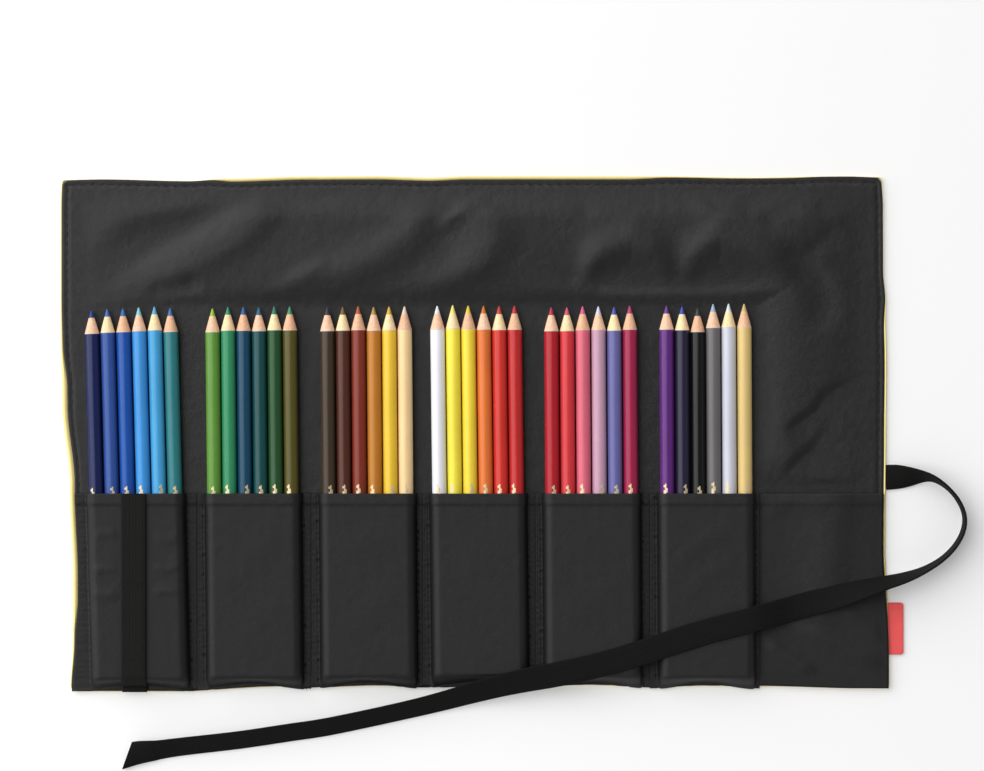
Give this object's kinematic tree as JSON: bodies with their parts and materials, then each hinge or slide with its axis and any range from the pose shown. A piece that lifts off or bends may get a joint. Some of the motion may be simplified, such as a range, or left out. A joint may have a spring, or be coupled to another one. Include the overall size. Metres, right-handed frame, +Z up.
{
  "type": "pencil roll",
  "caption": "Cloth pencil roll opened flat, with coloured pencils in its pockets, a webbing closing strap and a side tag; it folds up gap by gap.",
  "frame": {"origin": "on the table, under the middle of the opened roll's bounding box without the strap", "axes": "+X along the sheet towards the edge with the strap and tag, +Y along the pencils towards their points, +Z up, out of the pockets"},
  "size_m": [0.4199, 0.2757, 0.0139],
  "materials": {
    "cover_cloth": "pale yellow woven nylon",
    "lining_cloth": "black satin lining",
    "pocket_cloth": "black woven nylon",
    "webbing": "matte black webbing",
    "tag_cloth": "plain red woven tag",
    "lacquer_navy": "glossy lacquer on cedar",
    "lacquer_blue_violet": "glossy lacquer on cedar",
    "lacquer_blue": "glossy lacquer on cedar",
    "lacquer_azure": "glossy lacquer on cedar",
    "lacquer_sky": "glossy lacquer on cedar",
    "lacquer_teal": "glossy lacquer on cedar",
    "lacquer_yellow_green": "glossy lacquer on cedar",
    "lacquer_emerald": "glossy lacquer on cedar",
    "lacquer_petrol": "glossy lacquer on cedar",
    "lacquer_pine": "glossy lacquer on cedar",
    "lacquer_dark_green": "glossy lacquer on cedar",
    "lacquer_olive": "glossy lacquer on cedar",
    "lacquer_umber": "glossy lacquer on cedar",
    "lacquer_dark_brown": "glossy lacquer on cedar",
    "lacquer_red_brown": "glossy lacquer on cedar",
    "lacquer_ochre": "glossy lacquer on cedar",
    "lacquer_golden": "glossy lacquer on cedar",
    "lacquer_peach": "glossy lacquer on cedar",
    "lacquer_white": "glossy lacquer on cedar",
    "lacquer_lemon": "glossy lacquer on cedar",
    "lacquer_yellow": "glossy lacquer on cedar",
    "lacquer_orange": "glossy lacquer on cedar",
    "lacquer_vermilion": "glossy lacquer on cedar",
    "lacquer_red": "glossy lacquer on cedar",
    "lacquer_crimson": "glossy lacquer on cedar",
    "lacquer_rose": "glossy lacquer on cedar",
    "lacquer_pink": "glossy lacquer on cedar",
    "lacquer_lilac": "glossy lacquer on cedar",
    "lacquer_periwinkle": "glossy lacquer on cedar",
    "lacquer_magenta": "glossy lacquer on cedar",
    "lacquer_purple": "glossy lacquer on cedar",
    "lacquer_indigo": "glossy lacquer on cedar",
    "lacquer_black": "glossy lacquer on cedar",
    "lacquer_grey": "glossy lacquer on cedar",
    "lacquer_silver": "glossy lacquer on cedar",
    "lacquer_gold": "glossy lacquer on cedar"
  },
  "bodies": {
    "panel_7": {"cover_7": "cover_cloth", "lining_7": "lining_cloth", "pocket_7": "pocket_cloth", "side_tag": "tag_cloth"},
    "panel_6": {"cover_6": "cover_cloth", "lining_6": "lining_cloth", "pocket_6": "pocket_cloth"},
    "panel_5": {"cover_5": "cover_cloth", "lining_5": "lining_cloth", "pocket_5": "pocket_cloth"},
    "panel_4": {"cover_4": "cover_cloth", "lining_4": "lining_cloth", "pocket_4": "pocket_cloth"},
    "panel_3": {"cover_3": "cover_cloth", "lining_3": "lining_cloth", "pocket_3": "pocket_cloth"},
    "panel_2": {"cover_2": "cover_cloth", "lining_2": "lining_cloth", "pocket_2": "pocket_cloth"},
    "panel_1": {"cover_1": "cover_cloth", "lining_1": "lining_cloth", "pocket_1": "pocket_cloth", "webbing_band": "webbing"},
    "strap": {"closing_strap": "webbing"},
    "pencil_navy": {"pencil_navy": "lacquer_navy"},
    "pencil_blue_violet": {"pencil_blue_violet": "lacquer_blue_violet"},
    "pencil_blue": {"pencil_blue": "lacquer_blue"},
    "pencil_azure": {"pencil_azure": "lacquer_azure"},
    "pencil_sky": {"pencil_sky": "lacquer_sky"},
    "pencil_teal": {"pencil_teal": "lacquer_teal"},
    "pencil_yellow_green": {"pencil_yellow_green": "lacquer_yellow_green"},
    "pencil_emerald": {"pencil_emerald": "lacquer_emerald"},
    "pencil_petrol": {"pencil_petrol": "lacquer_petrol"},
    "pencil_pine": {"pencil_pine": "lacquer_pine"},
    "pencil_dark_green": {"pencil_dark_green": "lacquer_dark_green"},
    "pencil_olive": {"pencil_olive": "lacquer_olive"},
    "pencil_umber": {"pencil_umber": "lacquer_umber"},
    "pencil_dark_brown": {"pencil_dark_brown": "lacquer_dark_brown"},
    "pencil_red_brown": {"pencil_red_brown": "lacquer_red_brown"},
    "pencil_ochre": {"pencil_ochre": "lacquer_ochre"},
    "pencil_golden": {"pencil_golden": "lacquer_golden"},
    "pencil_peach": {"pencil_peach": "lacquer_peach"},
    "pencil_white": {"pencil_white": "lacquer_white"},
    "pencil_lemon": {"pencil_lemon": "lacquer_lemon"},
    "pencil_yellow": {"pencil_yellow": "lacquer_yellow"},
    "pencil_orange": {"pencil_orange": "lacquer_orange"},
    "pencil_vermilion": {"pencil_vermilion": "lacquer_vermilion"},
    "pencil_red": {"pencil_red": "lacquer_red"},
    "pencil_crimson": {"pencil_crimson": "lacquer_crimson"},
    "pencil_rose": {"pencil_rose": "lacquer_rose"},
    "pencil_pink": {"pencil_pink": "lacquer_pink"},
    "pencil_lilac": {"pencil_lilac": "lacquer_lilac"},
    "pencil_periwinkle": {"pencil_periwinkle": "lacquer_periwinkle"},
    "pencil_magenta": {"pencil_magenta": "lacquer_magenta"},
    "pencil_purple": {"pencil_purple": "lacquer_purple"},
    "pencil_indigo": {"pencil_indigo": "lacquer_indigo"},
    "pencil_black": {"pencil_black": "lacquer_black"},
    "pencil_grey": {"pencil_grey": "lacquer_grey"},
    "pencil_silver": {"pencil_silver": "lacquer_silver"},
    "pencil_gold": {"pencil_gold": "lacquer_gold"}
  },
  "joints": [
    {"name": "fold_1", "type": "hinge", "parent": "panel_2", "child": "panel_1", "pos_m": [-0.13215, 0, 0.0025], "axis": [0, -1, 0], "range_deg": [-76, 0], "deforming": ["closing_strap"]},
    {"name": "fold_2", "type": "hinge", "parent": "panel_3", "child": "panel_2", "pos_m": [-0.07925, 0, 0.0025], "axis": [0, -1, 0], "range_deg": [-70, 0]},
    {"name": "fold_3", "type": "hinge", "parent": "panel_4", "child": "panel_3", "pos_m": [-0.02755, 0, 0.0025], "axis": [0, -1, 0], "range_deg": [-60, 0]},
    {"name": "fold_4", "type": "hinge", "parent": "panel_5", "child": "panel_4", "pos_m": [0.02485, 0, 0.0025], "axis": [0, -1, 0], "range_deg": [-58, 0]},
    {"name": "fold_5", "type": "hinge", "parent": "panel_6", "child": "panel_5", "pos_m": [0.07795, 0, 0.0025], "axis": [0, -1, 0], "range_deg": [-57, 0]},
    {"name": "fold_6", "type": "hinge", "parent": "panel_7", "child": "panel_6", "pos_m": [0.12895, 0, 0.0025], "axis": [0, -1, 0], "range_deg": [-52, 0]},
    {"name": "strap_swing", "type": "hinge", "parent": "panel_7", "child": "strap", "pos_m": [0.1882, -0.0202, 0.001], "axis": [0, 0, 1], "range_deg": [0, 90]},
    {"name": "draw_navy", "type": "slide", "parent": "panel_1", "child": "pencil_navy", "axis": [-0.0262, 0.9997, 0], "range_m": [0, 0.085]},
    {"name": "draw_blue_violet", "type": "slide", "parent": "panel_1", "child": "pencil_blue_violet", "axis": [-0.0262, 0.9997, 0], "range_m": [0, 0.085]},
    {"name": "draw_blue", "type": "slide", "parent": "panel_1", "child": "pencil_blue", "axis": [-0.0262, 0.9997, 0], "range_m": [0, 0.085]},
    {"name": "draw_azure", "type": "slide", "parent": "panel_1", "child": "pencil_azure", "axis": [-0.0262, 0.9997, 0], "range_m": [0, 0.085]},
    {"name": "draw_sky", "type": "slide", "parent": "panel_1", "child": "pencil_sky", "axis": [-0.0262, 0.9997, 0], "range_m": [0, 0.085]},
    {"name": "draw_teal", "type": "slide", "parent": "panel_1", "child": "pencil_teal", "axis": [-0.0262, 0.9997, 0], "range_m": [0, 0.085]},
    {"name": "draw_yellow_green", "type": "slide", "parent": "panel_2", "child": "pencil_yellow_green", "axis": [-0.0105, 0.9999, 0], "range_m": [0, 0.085]},
    {"name": "draw_emerald", "type": "slide", "parent": "panel_2", "child": "pencil_emerald", "axis": [-0.0105, 0.9999, 0], "range_m": [0, 0.085]},
    {"name": "draw_petrol", "type": "slide", "parent": "panel_2", "child": "pencil_petrol", "axis": [-0.0105, 0.9999, 0], "range_m": [0, 0.085]},
    {"name": "draw_pine", "type": "slide", "parent": "panel_2", "child": "pencil_pine", "axis": [-0.0105, 0.9999, 0], "range_m": [0, 0.085]},
    {"name": "draw_dark_green", "type": "slide", "parent": "panel_2", "child": "pencil_dark_green", "axis": [-0.0105, 0.9999, 0], "range_m": [0, 0.085]},
    {"name": "draw_olive", "type": "slide", "parent": "panel_2", "child": "pencil_olive", "axis": [-0.0105, 0.9999, 0], "range_m": [0, 0.085]},
    {"name": "draw_umber", "type": "slide", "parent": "panel_3", "child": "pencil_umber", "axis": [-0.0087, 1, 0], "range_m": [0, 0.085]},
    {"name": "draw_dark_brown", "type": "slide", "parent": "panel_3", "child": "pencil_dark_brown", "axis": [-0.0087, 1, 0], "range_m": [0, 0.085]},
    {"name": "draw_red_brown", "type": "slide", "parent": "panel_3", "child": "pencil_red_brown", "axis": [-0.0087, 1, 0], "range_m": [0, 0.085]},
    {"name": "draw_ochre", "type": "slide", "parent": "panel_3", "child": "pencil_ochre", "axis": [-0.0087, 1, 0], "range_m": [0, 0.085]},
    {"name": "draw_golden", "type": "slide", "parent": "panel_3", "child": "pencil_golden", "axis": [-0.0087, 1, 0], "range_m": [0, 0.085]},
    {"name": "draw_peach", "type": "slide", "parent": "panel_3", "child": "pencil_peach", "axis": [-0.0087, 1, 0], "range_m": [0, 0.085]},
    {"name": "draw_white", "type": "slide", "parent": "panel_4", "child": "pencil_white", "axis": [-0.0122, 0.9999, 0], "range_m": [0, 0.085]},
    {"name": "draw_lemon", "type": "slide", "parent": "panel_4", "child": "pencil_lemon", "axis": [-0.0122, 0.9999, 0], "range_m": [0, 0.085]},
    {"name": "draw_yellow", "type": "slide", "parent": "panel_4", "child": "pencil_yellow", "axis": [-0.0122, 0.9999, 0], "range_m": [0, 0.085]},
    {"name": "draw_orange", "type": "slide", "parent": "panel_4", "child": "pencil_orange", "axis": [-0.0122, 0.9999, 0], "range_m": [0, 0.085]},
    {"name": "draw_vermilion", "type": "slide", "parent": "panel_4", "child": "pencil_vermilion", "axis": [-0.0122, 0.9999, 0], "range_m": [0, 0.085]},
    {"name": "draw_red", "type": "slide", "parent": "panel_4", "child": "pencil_red", "axis": [-0.0122, 0.9999, 0], "range_m": [0, 0.085]},
    {"name": "draw_crimson", "type": "slide", "parent": "panel_5", "child": "pencil_crimson", "axis": [-0.007, 1, 0], "range_m": [0, 0.085]},
    {"name": "draw_rose", "type": "slide", "parent": "panel_5", "child": "pencil_rose", "axis": [-0.007, 1, 0], "range_m": [0, 0.085]},
    {"name": "draw_pink", "type": "slide", "parent": "panel_5", "child": "pencil_pink", "axis": [-0.007, 1, 0], "range_m": [0, 0.085]},
    {"name": "draw_lilac", "type": "slide", "parent": "panel_5", "child": "pencil_lilac", "axis": [-0.007, 1, 0], "range_m": [0, 0.085]},
    {"name": "draw_periwinkle", "type": "slide", "parent": "panel_5", "child": "pencil_periwinkle", "axis": [-0.007, 1, 0], "range_m": [0, 0.085]},
    {"name": "draw_magenta", "type": "slide", "parent": "panel_5", "child": "pencil_magenta", "axis": [-0.007, 1, 0], "range_m": [0, 0.085]},
    {"name": "draw_purple", "type": "slide", "parent": "panel_6", "child": "pencil_purple", "axis": [-0.0052, 1, 0], "range_m": [0, 0.085]},
    {"name": "draw_indigo", "type": "slide", "parent": "panel_6", "child": "pencil_indigo", "axis": [-0.0052, 1, 0], "range_m": [0, 0.085]},
    {"name": "draw_black", "type": "slide", "parent": "panel_6", "child": "pencil_black", "axis": [-0.0052, 1, 0], "range_m": [0, 0.085]},
    {"name": "draw_grey", "type": "slide", "parent": "panel_6", "child": "pencil_grey", "axis": [-0.0052, 1, 0], "range_m": [0, 0.085]},
    {"name": "draw_silver", "type": "slide", "parent": "panel_6", "child": "pencil_silver", "axis": [-0.0052, 1, 0], "range_m": [0, 0.085]},
    {"name": "draw_gold", "type": "slide", "parent": "panel_6", "child": "pencil_gold", "axis": [-0.0052, 1, 0], "range_m": [0, 0.085]}
  ],
  "couplings": [
    {"joint": "fold_2", "follows": "fold_1", "ratio": 0.921},
    {"joint": "fold_3", "follows": "fold_1", "ratio": 0.7894},
    {"joint": "fold_4", "follows": "fold_1", "ratio": 0.7631},
    {"joint": "fold_5", "follows": "fold_1", "ratio": 0.75},
    {"joint": "fold_6", "follows": "fold_1", "ratio": 0.6842},
    {"joint": "strap_swing", "follows": "fold_1", "ratio": -1.1842}
  ]
}
